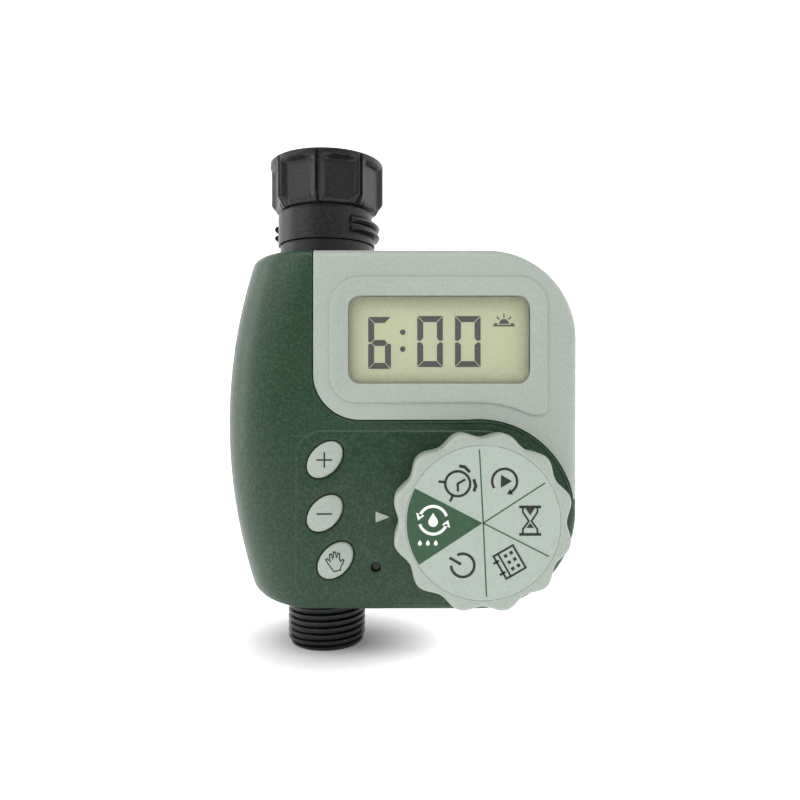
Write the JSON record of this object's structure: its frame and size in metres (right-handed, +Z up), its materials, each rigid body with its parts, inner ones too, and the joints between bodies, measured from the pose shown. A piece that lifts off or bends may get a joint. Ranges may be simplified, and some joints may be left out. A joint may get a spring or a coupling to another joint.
{
  "type": "drip irrigation timer",
  "caption": "Hose-tap watering timer with a swivel inlet, a threaded outlet, a liquid-crystal display, oval buttons, a lobed dial and a sliding battery drawer.",
  "frame": {"origin": "centre of the inlet coupling's mouth, on the axis of the water pipe", "axes": "+X to the right seen from the front, +Y from the front face to the back, +Z up along the water pipe towards the tap"},
  "size_m": [0.1173, 0.065, 0.1678],
  "materials": {
    "green_plastic": "moulded dark green plastic, satin with a fine grain",
    "grey_plastic": "moulded pale grey-green plastic, satin",
    "dial_face": "pale grey-green plastic with printed dark green marks",
    "black_plastic": "black glass-filled plastic, satin",
    "rubber": "black rubber",
    "keypad_rubber": "pale silicone rubber",
    "steel": "plated steel",
    "brass": "plain brass",
    "copper_winding": "enamelled copper wire",
    "white_plastic": "off-white plastic",
    "strainer_plastic": "dark grey plastic",
    "clear_window": "clear acrylic window",
    "display_face": "grey-olive liquid-crystal glass",
    "display_ink": "dark liquid-crystal segments",
    "circuit_board": "green solder mask",
    "chip_plastic": "black epoxy package",
    "capacitor_sleeve": "dark blue sleeve",
    "wire_insulation": "red wire insulation",
    "dark_button": "dark green-black plastic",
    "battery_skin": "dark printed battery sleeve"
  },
  "bodies": {
    "housing": {"front_cover": "green_plastic", "display_cover": "grey_plastic", "rear_cover": "green_plastic", "case_gasket": "rubber", "case_screws": "steel", "valve_body": "black_plastic", "coupling_retainer": "black_plastic", "inlet_washer": "rubber", "filter_screen": "strainer_plastic", "diaphragm": "rubber", "bonnet": "black_plastic", "bonnet_screws": "steel", "solenoid_tube": "steel", "solenoid_bobbin": "white_plastic", "solenoid_coil": "copper_winding", "solenoid_frame": "steel", "solenoid_wires": "wire_insulation", "lcd_lens": "clear_window", "lcd_segments": "display_ink", "lcd_glass": "display_face", "lcd_holder": "white_plastic", "zebra_strip": "rubber", "keypad": "keypad_rubber", "main_pcb": "circuit_board", "pcb_screws": "steel", "controller_chip": "chip_plastic", "quartz_crystal": "steel", "storage_capacitor": "capacitor_sleeve", "wire_connector": "white_plastic", "pointer_mark": "grey_plastic", "detent_spring": "steel", "battery_bay": "black_plastic", "battery_springs": "steel", "battery_wires": "wire_insulation"},
    "inlet_nut": {"inlet_coupling": "black_plastic"},
    "dial": {"dial_knob": "grey_plastic", "dial_label": "dial_face", "dial_shaft": "steel", "dial_clip": "steel", "detent_wheel": "white_plastic", "dial_wiper": "brass"},
    "plus": {"plus_button": "grey_plastic"},
    "minus": {"minus_button": "grey_plastic"},
    "manual": {"manual_button": "grey_plastic"},
    "reset": {"reset_button": "dark_button"},
    "drawer": {"battery_drawer": "green_plastic", "drawer_seal": "rubber", "battery_cells": "battery_skin", "bridge_plate": "steel"},
    "poppet": {"valve_disc": "brass", "diaphragm_spring": "steel"},
    "plunger": {"solenoid_plunger": "steel", "plunger_seal": "rubber", "plunger_spring": "steel"}
  },
  "joints": [
    {"name": "inlet_swivel", "type": "hinge", "parent": "housing", "child": "inlet_nut", "pos_m": [0, 0, -0.01], "axis": [0, 0, 1], "continuous": true},
    {"name": "dial_turn", "type": "hinge", "parent": "housing", "child": "dial", "pos_m": [0.0511, -0.03, -0.12025], "axis": [0, 1, 0], "continuous": true},
    {"name": "plus_press", "type": "slide", "parent": "housing", "child": "plus", "axis": [0, 1, 0], "range_m": [0, 0.001], "stiffness_N_per_m": 600, "springref_m": -0.0008},
    {"name": "minus_press", "type": "slide", "parent": "housing", "child": "minus", "axis": [0, 1, 0], "range_m": [0, 0.001], "stiffness_N_per_m": 600, "springref_m": -0.0008},
    {"name": "manual_press", "type": "slide", "parent": "housing", "child": "manual", "axis": [0, 1, 0], "range_m": [0, 0.001], "stiffness_N_per_m": 600, "springref_m": -0.0008},
    {"name": "reset_press", "type": "slide", "parent": "housing", "child": "reset", "axis": [0, 1, 0], "range_m": [0, 0.0006], "stiffness_N_per_m": 600, "springref_m": -0.0008},
    {"name": "drawer_slide", "type": "slide", "parent": "housing", "child": "drawer", "axis": [1, 0, 0], "range_m": [0, 0.062]},
    {"name": "valve_lift", "type": "slide", "parent": "housing", "child": "poppet", "axis": [0, 1, 0], "range_m": [0, 0.003], "stiffness_N_per_m": 300, "springref_m": -0.001, "deforming": ["diaphragm_spring"]},
    {"name": "plunger_pull", "type": "slide", "parent": "housing", "child": "plunger", "axis": [1, 0, 0], "range_m": [0, 0.0015], "stiffness_N_per_m": 250, "springref_m": -0.001, "deforming": ["plunger_spring"]}
  ]
}
